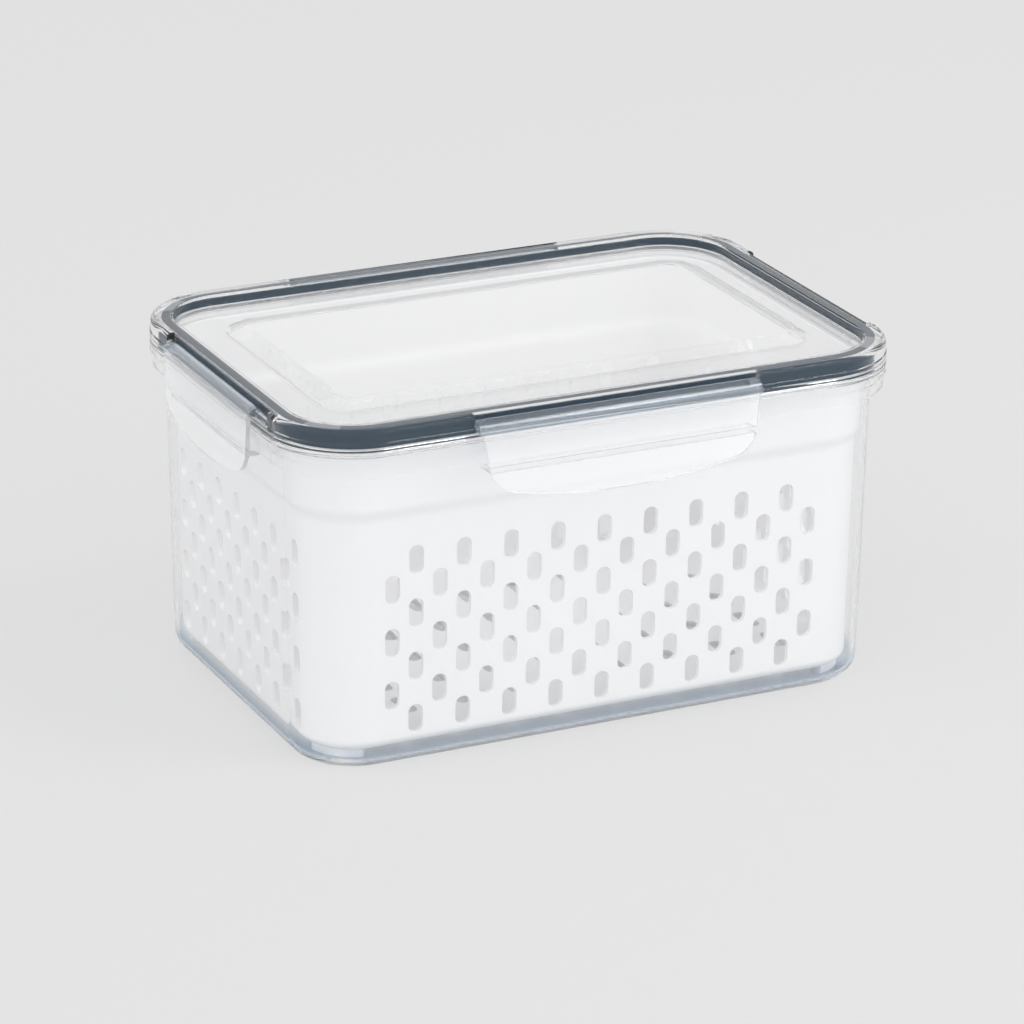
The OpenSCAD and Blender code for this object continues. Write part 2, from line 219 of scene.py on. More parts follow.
def stations(core, first=0, last=90):
    """Corner axes and outward directions round a rounded rectangle, corner by corner."""
    corners = []
    for quarter, (sx, sy) in enumerate(((1, 1), (-1, 1), (-1, -1), (1, -1))):
        axis = Vector((sx * core[0] / 2, sy * core[1] / 2, 0))
        angles = [radians(90 * quarter + first + (last - first) * i / CORNER_STEPS)
                  for i in range(CORNER_STEPS + 1)]
        corners.append([(axis, Vector((cos(a), sin(a), 0))) for a in angles])
    return corners


def place_section(bm, section, path):
    """One row of vertices for each station of a path."""
    return [[bm.verts.new(axis + out * x + Vector((0, 0, z))) for x, z in section]
            for axis, out in path]


def skin(bm, rows, closed_path, closed_section):
    """Faces between rows of vertices."""
    following = rows[1:] + rows[:1] if closed_path else rows[1:]
    count = len(rows[0])
    for a, b in zip(rows, following):
        for j in range(count if closed_section else count - 1):
            k = (j + 1) % count
            bm.faces.new((a[j], b[j], b[k], a[k]))


def close_middle(bm, rows):
    """Closes the two flat middles that a swept section leaves open."""
    for j in (0, len(rows[0]) - 1):
        bm.faces.new([rows[k * (CORNER_STEPS + 1)][j] for k in range(4)])


def sweep(name, section, core, filled):
    """Sweeps a section round a rounded rectangle; a filled one starts and ends on the corner axes."""
    bm = bmesh.new()
    rows = place_section(bm, section, [s for corner in stations(core) for s in corner])
    skin(bm, rows, True, not filled)
    if filled:
        close_middle(bm, rows)
    return new_object(name, bm)


def prism(name, outline, low, high, turn):
    """A prism of an outline between two depths, turned by a matrix into place."""
    bm = bmesh.new()
    ends = [[bm.verts.new(turn @ Vector((x, z, depth))) for x, z in outline]
            for depth in (low, high)]
    skin(bm, ends, False, True)
    for end in ends:
        bm.faces.new(end)
    return new_object(name, bm)


def block(name, low, high):
    """A box between two corners."""
    bm = bmesh.new()
    size = Vector(high) - Vector(low)
    middle = (Vector(high) + Vector(low)) / 2
    place = Matrix.Translation(middle) @ Matrix.Diagonal((*size, 1))
    bmesh.ops.create_cube(bm, size=1, matrix=place)
    return new_object(name, bm)


def rod(name, start, end, radius, sides=20):
    """A round rod between two points."""
    bm = bmesh.new()
    run = Vector(end) - Vector(start)
    turn = run.to_track_quat("Z", "Y").to_matrix().to_4x4()
    place = Matrix.Translation((Vector(start) + Vector(end)) / 2) @ turn
    bmesh.ops.create_cone(bm, cap_ends=True, segments=sides, radius1=radius, radius2=radius,
                          depth=run.length, matrix=place)
    return new_object(name, bm)


def settle(obj):
    """Replaces an object's mesh by its evaluated one and clears its modifiers."""
    bpy.context.view_layer.update()
    evaluated = obj.evaluated_get(bpy.context.evaluated_depsgraph_get())
    mesh = bpy.data.meshes.new_from_object(evaluated)
    obj.modifiers.clear()
    obj.data = mesh
    for polygon in mesh.polygons:
        polygon.use_smooth = True
    return obj


def combine(obj, tool, operation):
    """Cuts, joins or crosses an object with a tool, which is then removed."""
    modifier = obj.modifiers.new("combine", "BOOLEAN")
    modifier.operation = operation
    modifier.solver = "EXACT"
    modifier.object = tool
    settle(obj)
    bpy.data.objects.remove(tool)
    return obj


def finish_edges(obj, width, angle=40):
    """Softens the cut edges of a piece and keeps its flat faces flat."""
    bevel = obj.modifiers.new("soft edges", "BEVEL")
    bevel.width = width
    bevel.segments = 2
    bevel.limit_method = "ANGLE"
    bevel.angle_limit = radians(angle)
    bevel.use_clamp_overlap = True
    bevel.miter_outer = "MITER_ARC"
    flat_normals(obj)


def flat_normals(obj):
    """Weights the normals by face size, so that flat walls stay flat beside rounded edges."""
    weighted = obj.modifiers.new("even shading", "WEIGHTED_NORMAL")
    weighted.weight = 100
    weighted.keep_sharp = False


def dress(obj, material, body, slot, *nodes):
    """Gives a finished piece its material and body, and hides the nodes that it stands for; the slot is
    not used.
    """
    obj.data.materials.clear()
    obj.data.materials.append(material)
    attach(obj, body)
    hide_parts(*nodes)


# Node trees


def add_node(tree, kind, inputs=None, **settings):
    """Adds a node with its settings; its inputs are sockets or plain values, by name or place."""
    node = tree.nodes.new(kind)
    for name, value in settings.items():
        setattr(node, name, value)
    for key, value in (inputs or {}).items():
        if isinstance(value, bpy.types.NodeSocket):
            tree.links.new(value, node.inputs[key])
        else:
            node.inputs[key].default_value = value
    return node


def number(tree, operation, *values):
    """A math node; its values are sockets or plain numbers."""
    return add_node(tree, "ShaderNodeMath", dict(enumerate(values)), operation=operation).outputs[0]


def add_sockets(tree, kind, labels, in_out="INPUT"):
    """Gives a node group one socket of a kind for each label."""
    for label in labels:
        tree.interface.new_socket(label, in_out=in_out, socket_type=f"NodeSocket{kind}")


# Materials

# Reach and height of the painted shade round the container's foot.
FOOT_SHADE_EDGE = (0.8, 0.9)
FOOT_SHADE_HEIGHT = (9 * MM, 5 * MM)
PLATE_EDGE = (0.88, 0.82)
PLATE_HEIGHT = (4 * MM, 3 * MM)
PLATE_ALPHA = 0.35
WAVE_SHADE = 0.985
GLOSS_SPREAD = (0.6, 1.5)


def new_material(name):
    """An empty node material and its output."""
    material = bpy.data.materials.new(name)
    material.use_nodes = True
    tree = material.node_tree
    tree.nodes.clear()
    return material, tree, tree.nodes.new("ShaderNodeOutputMaterial")


def moulded_surface():
    """Node group: slow waves and fine grain of moulded plastic, as two masks and one height."""
    name = "Moulded Surface"
    if name in bpy.data.node_groups:
        return bpy.data.node_groups[name]
    tree = bpy.data.node_groups.new(name, "ShaderNodeTree")
    add_sockets(tree, "Float", ("Wave Scale", "Grain Scale", "Grain Share"))
    add_sockets(tree, "Float", ("Waves", "Grain", "Height"), "OUTPUT")
    given = tree.nodes.new("NodeGroupInput").outputs
    place = tree.nodes.new("ShaderNodeTexCoord").outputs["Object"]

    def noise(scale, detail):
        values = {"Vector": place, "Scale": given[scale], "Detail": detail}
        return add_node(tree, "ShaderNodeTexNoise", values).outputs["Fac"]

    waves, grain = noise("Wave Scale", 2.0), noise("Grain Scale", 3.0)
    height = add_node(tree, "ShaderNodeMix", {"Factor": given["Grain Share"], "A": waves, "B": grain})
    add_node(tree, "NodeGroupOutput",
             {"Waves": waves, "Grain": grain, "Height": height.outputs["Result"]})
    return tree


def surface(tree, wave, grain, share):
    """Outputs of the moulded surface group, placed in a material with its own scales."""
    scales = {"Wave Scale": wave, "Grain Scale": grain, "Grain Share": share}
    return add_node(tree, "ShaderNodeGroup", scales, node_tree=moulded_surface()).outputs


def spread(tree, source, low, high):
    """Spreads a mask between two values."""
    limits = {"Value": source, "To Min": low, "To Max": high}
    return add_node(tree, "ShaderNodeMapRange", limits).outputs["Result"]


def fade(tree, source, low, high):
    """A mask that rises softly from zero to one between two values of a source."""
    limits = {"Value": source, "From Min": low, "From Max": high}
    return add_node(tree, "ShaderNodeMapRange", limits, interpolation_type="SMOOTHSTEP").outputs["Result"]


def tint(tree, source, one, other):
    """Mixes two colours by a mask; the first may be a socket."""
    first = one if isinstance(one, bpy.types.NodeSocket) else (*one, 1)
    colours = {"Factor": source, "A": first, "B": (*other, 1)}
    return add_node(tree, "ShaderNodeMix", colours, data_type="RGBA").outputs["Result"]


def bump(tree, height, strength, distance):
    """A bump from a height."""
    values = {"Height": height, "Strength": strength, "Distance": distance}
    return add_node(tree, "ShaderNodeBump", values).outputs["Normal"]


def mix_shaders(tree, output, share, first, second):
    """Shows a share of the second shader over the first."""
    shaders = {"Fac": share, 1: first.outputs[0], 2: second.outputs[0]}
    mix = add_node(tree, "ShaderNodeMixShader", shaders)
    tree.links.new(mix.outputs[0], output.inputs["Surface"])


def foot_shade_and_plate_masks(tree):
    """Two masks: one for the painted shade round the outside of the container's foot, standing in for the
    shaded gap under the basket, one on the plate inside it.
    """
    place = tree.nodes.new("ShaderNodeTexCoord").outputs["Object"]
    axes = add_node(tree, "ShaderNodeSeparateXYZ", {0: place}).outputs
    across, along = (number(tree, "DIVIDE", number(tree, "ABSOLUTE", axes[k]), BIN_HIGH[k])
                     for k in (0, 1))
    reach = number(tree, "MAXIMUM", across, along)
    return tuple(number(tree, "MULTIPLY", fade(tree, reach, *edge), fade(tree, axes["Z"], *height))
                 for edge, height in ((FOOT_SHADE_EDGE, FOOT_SHADE_HEIGHT), (PLATE_EDGE, PLATE_HEIGHT)))


def clear_plastic(name, shade, clearness, wave, roughness, ior=1.28, coat=0.0, alpha=1.0,
                  depth=None, density=0.0, foot=None):
    """Clear moulded plastic: tinted, faintly wavy, and open to the lamps that light what is inside; a
    given foot colour is painted shade on the container's bottom edge.
    """
    material, tree, output = new_material(name)
    group = surface(tree, wave=wave, grain=700.0, share=0.05)
    base = tint(tree, group["Waves"], shade, tuple(c * WAVE_SHADE for c in shade))
    if foot:
        edge, plate = foot_shade_and_plate_masks(tree)
        # Painted shade: the foot colour darkens the bottom edge towards blue-grey, where the gap under
        # the basket lies in shade.
        base = tint(tree, edge, base, foot)
        alpha = spread(tree, plate, alpha, PLATE_ALPHA)
    shader = add_node(tree, "ShaderNodeBsdfPrincipled", {
        "Base Color": base,
        "Roughness": spread(tree, group["Grain"], *(roughness * share for share in GLOSS_SPREAD)),
        "Normal": bump(tree, group["Height"], strength=0.12, distance=0.6 * MM),
        "Transmission Weight": clearness,
        "IOR": ior,
        "Coat Weight": coat,
        "Alpha": alpha,
    })
    passing = add_node(tree, "ShaderNodeBsdfTransparent", {"Color": (*shade, 1)})
    path = tree.nodes.new("ShaderNodeLightPath").outputs
    lamp_rays = number(tree, "MAXIMUM", path["Is Shadow Ray"], path["Is Diffuse Ray"])
    mix_shaders(tree, output, lamp_rays, shader, passing)
    if depth:
        volume = add_node(tree, "ShaderNodeVolumeAbsorption", {"Color": (*depth, 1), "Density": density})
        tree.links.new(volume.outputs["Volume"], output.inputs["Volume"])
    return material


def dull_plastic(name, scales, colours, colour_mask, gloss, gloss_mask, relief, values):
    """A solid plastic that drifts between two colours, with further values of its shader."""
    material, tree, output = new_material(name)
    group = surface(tree, **scales)
    shader = add_node(tree, "ShaderNodeBsdfPrincipled", {
        "Base Color": tint(tree, group[colour_mask], *colours),
        "Roughness": spread(tree, group[gloss_mask], *gloss),
        "Normal": bump(tree, group["Height"], strength=relief, distance=0.2 * MM),
        **values,
    })
    tree.links.new(shader.outputs["BSDF"], output.inputs["Surface"])
    return material


def white_plastic(shade):
    """Satin white moulded plastic with a faint grain and slow colour drift."""
    shaded = tuple(c * 0.97 for c in shade)
    return dull_plastic(
        "white satin plastic", scales={"wave": 30.0, "grain": 1500.0, "share": 0.5},
        colours=(shade, shaded), colour_mask="Waves", gloss=(0.36, 0.5), gloss_mask="Grain", relief=0.1,
        values={"IOR": 1.49, "Subsurface Weight": 0.12, "Subsurface Radius": (1.0, 1.0, 1.0),
                "Subsurface Scale": 2 * MM})


def soft_seal(shade):
    """Dark soft seal with a dull, slightly dusty skin."""
    dusty = tuple(c * 1.35 + 0.01 for c in shade)
    return dull_plastic(
        "dark soft seal", scales={"wave": 60.0, "grain": 2500.0, "share": 0.6},
        colours=(shade, dusty), colour_mask="Grain", gloss=(0.42, 0.6), gloss_mask="Waves", relief=0.2,
        values={"IOR": 1.41, "Specular IOR Level": 0.1})


# Sections of the swept pieces


def sizes():
    """The sizes of the scene."""
    return bpy.context.scene.keeper_sizes


def finishes():
    """The colours of the scene."""
    return bpy.context.scene.keeper_finishes


def rim_core():
    """Length and width between the corner axes of the rim."""
    s = sizes()
    size = LID_HIGH - LID_LOW
    return (size.x - 2 * s.rim_radius, size.y - 2 * s.rim_radius)


def container_section():
    """Floor, drafted wall, stepped collar and lip of the container."""
    s = sizes()
    lip_top = BIN_HIGH.z - SEAM
    collar_top = BIN_HIGH.z - s.lip_height
    collar_low = collar_top - s.collar_height
    step = collar_low + s.collar_height / 2

    def at(inset):
        return s.rim_radius - inset

    collar_in = s.collar_step + s.collar
    base = at(s.lip_inset) - s.wall_draft
    inside = at(s.lip_inset + s.wall)
    corners = [
        (base, 0, s.base_fillet),
        (at(s.lip_inset), collar_low, 0),
        (at(s.lip_inset), collar_top - s.collar, 0.6 * MM),
        (at(collar_in), collar_top - s.collar, 0.5 * MM),
        (at(collar_in), collar_low, s.edge),
        (at(s.collar_step), collar_low, 0.7 * MM),
        (at(s.collar_step), step, 0.5 * MM),
        (at(0), step + s.collar_step, 0.6 * MM),
        (at(0), collar_top, 0.6 * MM),
        (at(s.lip_inset), collar_top, 0.5 * MM),
        (at(s.lip_inset), lip_top, 0.4 * MM),
        (inside, lip_top, 0.4 * MM),
        (inside, collar_low, 0),
        (inside - s.wall_draft, s.floor, s.inner_fillet),
    ]
    closed = [(0, 0, 0)] + corners + [(0, s.floor, 0)]
    return soften(closed, BEND_STEPS)


def rim_section():
    """Rim with the seal channel below, from the underside of the panel round to its top."""
    s = sizes()
    top = LID_HIGH.z
    skirt = LID_LOW.z
    ledge = skirt + s.band
    panel = top - s.panel_drop
    plug = skirt + 0.8 * MM
    roof = top - s.roof

    def at(inset):
        return s.rim_radius - inset

    return soften([
        (0, panel - s.panel, 0),
        (at(s.rim_width), panel - s.panel, 0.6 * MM),
        (at(s.rim_width), plug, s.edge),
        (at(s.channel_inner), plug, s.edge),
        (at(s.channel_inner), roof, 0.3 * MM),
        (at(s.channel_outer), roof, 0.3 * MM),
        (at(s.channel_outer), skirt, s.edge),
        (at(0), skirt, 0.4 * MM),
        (at(0), ledge - s.band_step, 0.15 * MM),
        (at(s.band_step), ledge, 0.15 * MM),
        (at(s.band_step), top, 1.4 * MM),
        (at(s.rim_width), top, 0.8 * MM),
        (at(s.rim_width), panel, 0.7 * MM),
        (0, panel, 0),
    ])[1:-1]


def field_core():
    """Length and width between the corner axes of the raised field."""
    s = sizes()
    size = LID_HIGH - LID_LOW
    return (size.x - 2 * (s.field_ends + s.field_radius), size.y - 2 * (s.field_sides + s.field_radius))


def field_sections():
    """Underside and top of the raised field, from its middle to its foot and back."""
    s = sizes()
    panel = LID_HIGH.z - s.panel_drop
    high = panel + s.field_height
    side, slope, beyond = s.field_radius, s.field_slope, 6 * MM
    inner = side - s.panel
    bend = 3 * MM
    under = soften([
        (0, high - s.panel, 0),
        (inner - slope, high - s.panel, bend),
        (inner, panel - s.panel, bend),
        (inner + beyond, panel - s.panel, 0),
    ], BEND_STEPS)[:-1]
    top = soften([
        (side + beyond, panel, 0),
        (side, panel, bend),
        (side - slope, high, bend),
        (0, high, 0),
    ], BEND_STEPS)[1:]
    return under, top


def lid_shell():
    """Panel with its raised field and the rim round it, before the notches are cut."""
    under, top = field_sections()
    rim = rim_section()
    bm = bmesh.new()
    rows = []
    for outer, inner in zip(stations(rim_core()), stations(field_core())):
        for i in range(CORNER_STEPS + 1):
            parts = ((under, inner[i]), (rim, outer[i]), (top, inner[i]))
            rows.append([v for section, place in parts for v in place_section(bm, section, [place])[0]])
    skin(bm, rows, True, False)
    close_middle(bm, rows)
    return new_object("lid_cover", bm)


def seal_section():
    """Block on the lip with a leg outside it."""
    s = sizes()
    play = 0.03 * MM
    outer = s.rim_radius - s.channel_outer - play
    inner = s.rim_radius - s.channel_inner + play
    seal_top = SEAL_HIGH.z - SEAM
    soft = 0.25 * MM
    lip_top = BIN_HIGH.z + SEAM
    return soften([
        (outer, SEAL_LOW.z, soft),
        (outer, seal_top, soft),
        (inner, seal_top, soft),
        (inner, lip_top, soft),
        (outer - s.seal_leg, lip_top, soft),
        (outer - s.seal_leg, SEAL_LOW.z, soft),
    ])


def basket_levels():
    """Underside, foot of the shoulder, shoulder and top of the basket."""
    s = sizes()
    under = BASKET_LOW.z + s.basket_foot
    shoulder = BASKET_HIGH.z - s.shoulder_height
    return under, shoulder - 2 * s.shoulder, shoulder, BASKET_HIGH.z


def basket_core():
    """Length and width between the corner axes of the basket."""
    s = sizes()
    size = BASKET_HIGH - BASKET_LOW
    return tuple(side - 2 * (s.basket_radius + s.basket_bead) for side in size[:2])


def basket_section():
    """Floor, drafted wall, shoulder and beaded top edge of the basket."""
    s = sizes()
    under, low, shoulder, top = basket_levels()
    wall, radius = s.basket_wall, s.basket_radius
    foot = radius - s.shoulder - s.basket_draft
    bead = 2 * MM
    bend = 5.5 * MM
    return soften([
        (0, under, 0),
        (foot, under, 3 * MM),
        (radius - s.shoulder, low, bend),
        (radius, shoulder, bend),
        (radius, top - bead, 0.2 * MM),
        (radius + s.basket_bead, top - bead + s.basket_bead, 0.2 * MM),
        (radius + s.basket_bead, top, 0.5 * MM),
        (radius - wall, top, 0.5 * MM),
        (radius - wall, shoulder, bend),
        (radius - s.shoulder - wall, low, bend),
        (foot - wall, under + s.basket_floor, 1.5 * MM),
        (0, under + s.basket_floor, 0),
    ])


# Drain slots, made with Geometry Nodes

SLOT_WALLS = ("Long", "Short", "Floor")
SLOT_COUNTS = ("Half Columns", "Rows")
SLOT_PLACES = ("Stagger", "Column Pitch", "Row Pitch", "First Row", "Slot Length", "Depth")
PILL_ROUND = 0.48


def slot_field():
    """Node group: rows and columns of pill-shaped cutters along Y, each odd column half a row up."""
    name = "Slot Field"
    if name in bpy.data.node_groups:
        return bpy.data.node_groups[name]
    tree = bpy.data.node_groups.new(name, "GeometryNodeTree")
    add_sockets(tree, "Int", SLOT_COUNTS)
    add_sockets(tree, "Float", (*SLOT_PLACES, "Slot Width"))
    add_sockets(tree, "Geometry", ("Cutters",), "OUTPUT")
    given = tree.nodes.new("NodeGroupInput").outputs

    columns = number(tree, "ADD", number(tree, "MULTIPLY", given["Half Columns"], 2.0), 1.0)
    index = tree.nodes.new("GeometryNodeInputIndex").outputs[0]
    along = number(tree, "DIVIDE", number(tree, "ADD", index, 0.5), given["Rows"])
    column = number(tree, "SUBTRACT", number(tree, "FLOOR", along), given["Half Columns"])
    row = number(tree, "MODULO", index, given["Rows"])
    second = number(tree, "MODULO", number(tree, "ABSOLUTE", column), 2.0)
    odd = number(tree, "MULTIPLY", second, given["Stagger"])
    lift = number(tree, "ADD", row, number(tree, "MULTIPLY", odd, 0.5))
    rise = number(tree, "MULTIPLY", lift, given["Row Pitch"])
    place = add_node(tree, "ShaderNodeCombineXYZ", {
        "X": number(tree, "MULTIPLY", column, given["Column Pitch"]),
        "Z": number(tree, "ADD", given["First Row"], rise),
    })
    points = add_node(tree, "GeometryNodePoints", {
        "Count": number(tree, "MULTIPLY", columns, given["Rows"]),
        "Position": place.outputs[0],
    })
    last = number(tree, "SUBTRACT", given["Rows"], 0.5)
    short = number(tree, "GREATER_THAN", number(tree, "ADD", row, odd), last)
    trimmed = add_node(tree, "GeometryNodeDeleteGeometry",
                       {"Geometry": points.outputs[0], "Selection": short}, domain="POINT")

    pill = add_node(tree, "GeometryNodeCurvePrimitiveQuadrilateral",
                    {"Width": given["Slot Width"], "Height": given["Slot Length"]})
    rounded = add_node(tree, "GeometryNodeFilletCurve", {
        "Curve": pill.outputs[0],
        "Radius": number(tree, "MULTIPLY", given["Slot Width"], PILL_ROUND),
        "Count": 5,
    }, mode="POLY")
    start, end = (
        add_node(tree, "ShaderNodeCombineXYZ", {"Y": number(tree, "MULTIPLY", given["Depth"], share)})
        for share in (-0.5, 0.5))
    line = add_node(tree, "GeometryNodeCurvePrimitiveLine",
                    {"Start": start.outputs[0], "End": end.outputs[0]})
    cutter = add_node(tree, "GeometryNodeCurveToMesh", {
        "Curve": line.outputs[0],
        "Profile Curve": rounded.outputs[0],
        "Fill Caps": True,
    })
    spots = add_node(tree, "GeometryNodeInstanceOnPoints",
                     {"Points": trimmed.outputs[0], "Instance": cutter.outputs[0]})
    real = add_node(tree, "GeometryNodeRealizeInstances", {0: spots.outputs[0]})
    add_node(tree, "NodeGroupOutput", {"Cutters": real.outputs[0]})
    return tree


def slotted_basket_tree():
    """Geometry tree: cuts the slot fields of the walls and the floor out of a shell."""
    tree = bpy.data.node_groups.new("Slotted Basket", "GeometryNodeTree")
    add_sockets(tree, "Geometry", ("Shell",))
    add_sockets(tree, "Geometry", ("Slotted",), "OUTPUT")
    for wall in SLOT_WALLS:
        add_sockets(tree, "Int", [f"{wall} {label}" for label in SLOT_COUNTS])
        add_sockets(tree, "Float", [f"{wall} {label}" for label in SLOT_PLACES])
    add_sockets(tree, "Float", ("Slot Width",))
    add_sockets(tree, "Material", ("Material",))
    given = tree.nodes.new("NodeGroupInput").outputs
    shell = given["Shell"]
    turns = {"Long": (0, 0, 0), "Short": (0, 0, radians(90)), "Floor": (radians(-90), 0, 0)}
    for wall in SLOT_WALLS:
        field = add_node(tree, "GeometryNodeGroup", node_tree=slot_field())
        for socket in field.inputs:
            source = socket.name if socket.name == "Slot Width" else f"{wall} {socket.name}"
            tree.links.new(given[source], socket)
        turned = add_node(tree, "GeometryNodeTransform",
                          {"Geometry": field.outputs[0], "Rotation": turns[wall]})
        cut = add_node(tree, "GeometryNodeMeshBoolean", {"Mesh 1": shell, "Mesh 2": turned.outputs[0]},
                       operation="DIFFERENCE", solver="EXACT")
        shell = cut.outputs["Mesh"]
    real = add_node(tree, "GeometryNodeRealizeInstances", {0: shell})
    painted = add_node(tree, "GeometryNodeSetMaterial",
                       {"Geometry": real.outputs[0], "Material": given["Material"]})
    add_node(tree, "NodeGroupOutput", {"Slotted": painted.outputs[0]})
    return tree


def slot_values():
    """Values of the slotted basket tree by the names of its inputs."""
    s = sizes()
    core = basket_core()
    under = basket_levels()[0]
    margin, past = 1.7 * MM, 1 * MM
    through = 1.2
    first = under + s.basket_floor + s.slot_length / 2 + margin
    size = BASKET_HIGH - BASKET_LOW
    half_floor = int(core[1] / 2 / s.floor_pitch)
    labels = SLOT_COUNTS + SLOT_PLACES
    rows = {
        "Long": (int(core[0] / 2 / s.long_pitch), s.slot_rows, 1.0, s.long_pitch, s.row_pitch, first,
                 s.slot_length, size.y * through),
        "Short": (int(core[1] / 2 / s.short_pitch), s.slot_rows, 1.0, s.short_pitch, s.row_pitch, first,
                  s.slot_length, size.x * through),
        "Floor": (int(core[0] / 2 / s.floor_pitch), 2 * half_floor + 1, 0.0, s.floor_pitch,
                  s.floor_pitch, -half_floor * s.floor_pitch, s.floor_slot,
                  2 * (under + s.basket_floor + past)),
    }
    values = {"Slot Width": s.slot_width}
    for wall in SLOT_WALLS:
        values.update({f"{wall} {label}": value for label, value in zip(labels, rows[wall])})
    return values


FOOT_INSET, FOOT_WIDTH = 2 * MM, 4 * MM
FOOT_ARC = (10, 80)


def corner_feet():
    """The low feet under the rounded corners of the basket, as one mesh."""
    s = sizes()
    root = basket_levels()[0] + s.basket_floor / 2
    outer = s.basket_radius - s.shoulder - s.basket_draft - FOOT_INSET
    section = soften([
        (outer - FOOT_WIDTH, BASKET_LOW.z, 0.3 * MM),
        (outer, BASKET_LOW.z, 0.5 * MM),
        (outer, root, 0),
        (outer - FOOT_WIDTH, root, 0),
    ])
    bm = bmesh.new()
    for corner in stations(basket_core(), *FOOT_ARC):
        rows = place_section(bm, section, corner)
        skin(bm, rows, False, True)
        for row in (rows[0], rows[-1]):
            bm.faces.new(row)
    return new_object("corner_feet", bm)


# Latches

HOOD_START, HOOD_END = 80, 15
KNUCKLE_END = -265
CREASE = 0.6 * MM
CATCH, CATCH_REACH = 1.5 * MM, 0.7 * MM
CURL, CURL_HEIGHT = 0.6 * MM, 4 * MM
END_TAPER = 2 * MM
BORE_PLAY = 0.05 * MM
PAST = 5 * MM


def hood_arc(hood, inset, axis_z):
    """Centre and radius of a hood that runs on smoothly from the knuckle."""
    s = sizes()
    start = radians(HOOD_START)
    radius = (hood + inset - s.knuckle * cos(start)) / (1 - cos(start))
    back = radius - s.knuckle
    return (-inset - back * cos(start), axis_z - back * sin(start)), radius


def latch_section(hood, reach, inset, axis_z, low):
    """Side view of a latch: x outward from the rim face, z up."""
    s = sizes()
    centre, radius = hood_arc(hood, inset, axis_z)
    end = arc(centre, radius, HOOD_END, HOOD_END, 1)[0]
    top = end[1] - CREASE
    collar_low = BIN_HIGH.z - s.lip_height - s.collar_height
    catch_top = collar_low - s.latch_gap
    catch_low = catch_top - CATCH
    catch_tip = -(s.collar_step + s.collar + CATCH_REACH)
    curl = reach if reach <= hood + MERGE else reach - CURL
    curl_z = low + CURL_HEIGHT
    bend = 6 * MM

    def face(z):
        return hood + (curl - hood) * (top - z) / (top - curl_z)

    back, inner_radius = radius - s.knuckle, radius - s.flap
    meet = (back ** 2 + inner_radius ** 2 - s.knuckle ** 2) / (2 * back * inner_radius)
    inner_end = HOOD_START - degrees(acos(meet))
    inner = arc(centre, inner_radius, HOOD_END, inner_end, 10)
    root = degrees(atan2(inner[-1][1] - axis_z, inner[-1][0] + inset))
    knuckle = [(x, z, 0) for x, z in arc((-inset, axis_z), s.knuckle, root, KNUCKLE_END, 20)]
    hood_points = [(x, z, 0) for x, z in arc(centre, radius, HOOD_START, HOOD_END, 16)]
    return soften(knuckle + hood_points + [
        (hood - CREASE, end[1] - CREASE / 2, 0.15 * MM),
        (hood, top, 0.2 * MM),
        (curl, curl_z, bend),
        (reach, low, 0.45 * MM),
        (reach - s.flap, low, 0.45 * MM),
        (curl - s.flap, curl_z, bend),
        (face(catch_low) - s.flap, catch_low, 0.5 * MM),
        (catch_tip, catch_low, 0.4 * MM),
        (catch_tip, catch_top, 0.4 * MM),
        (face(catch_top) - s.flap, catch_top, 0.5 * MM),
        (hood - s.flap, top, 1 * MM),
    ] + [(x, z, 0) for x, z in inner[:-1]], 4), end[1]


def latch_outline(half, crease_z, low):
    """Front view of a latch: straight ends, rounded lower corners and a crowned bottom edge."""
    s = sizes()
    side = half - END_TAPER
    corner_x = side - s.flap_corner
    crown = (side * side + s.flap_crown * s.flap_crown) / (2 * s.flap_crown)
    crown_z = low + crown
    corner_z = crown_z - sqrt((crown - s.flap_corner) ** 2 - corner_x ** 2)
    tangent = degrees(atan2(corner_z - crown_z, corner_x))
    right = [(half, LID_HIGH.z), (half, crease_z - CREASE / 2),
             (half - END_TAPER / 2, crease_z - CREASE)]
    right += arc((corner_x, corner_z), s.flap_corner, 0, tangent, 10)
    bottom = arc((0, crown_z), crown, tangent, -180 - tangent, 24)[1:-1]
    return right + bottom + [(-x, z) for x, z in reversed(right)]


SIDES = {
    "front": ("front_latch", "front_flap", "front_hinge", 180),
    "back": ("back_latch", "back_flap", "back_hinge", 0),
    "left": ("left_latch", "left_flap", "left_hinge", 90),
    "right": ("right_latch", "right_flap", "right_hinge", -90),
}


def latch_frame(side):
    """Matrix of a latch's own frame, x along the rim and y outward, and its hinge's y and z in it."""
    _, _, joint, turn = SIDES[side]
    face = LID_HIGH.y if turn in (0, 180) else LID_HIGH.x
    place = Matrix.Rotation(radians(turn), 4, "Z") @ Matrix.Translation((0, face, 0))
    return place, (place.inverted() @ HINGES[joint]).y, HINGES[joint].z


def hinge_rod(name, side, start, end, radius):
    """A rod on the hinge line of a latch, between two distances from its middle."""
    place, y, z = latch_frame(side)
    return rod(name, place @ Vector((start, y, z)), place @ Vector((end, y, z)), radius)


def latch_numbers(side):
    """Half length, hood, reach and lowest point of one latch, from the frame."""
    s = sizes()
    node = SIDES[side][0]
    low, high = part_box(node)
    if side in ("front", "back"):
        return (high.x - low.x) / 2, s.front_hood, max(-low.y, high.y) - LID_HIGH.y, low.z
    reach = max(-low.x, high.x) - LID_HIGH.x
    return (high.y - low.y) / 2, reach, reach, low.z


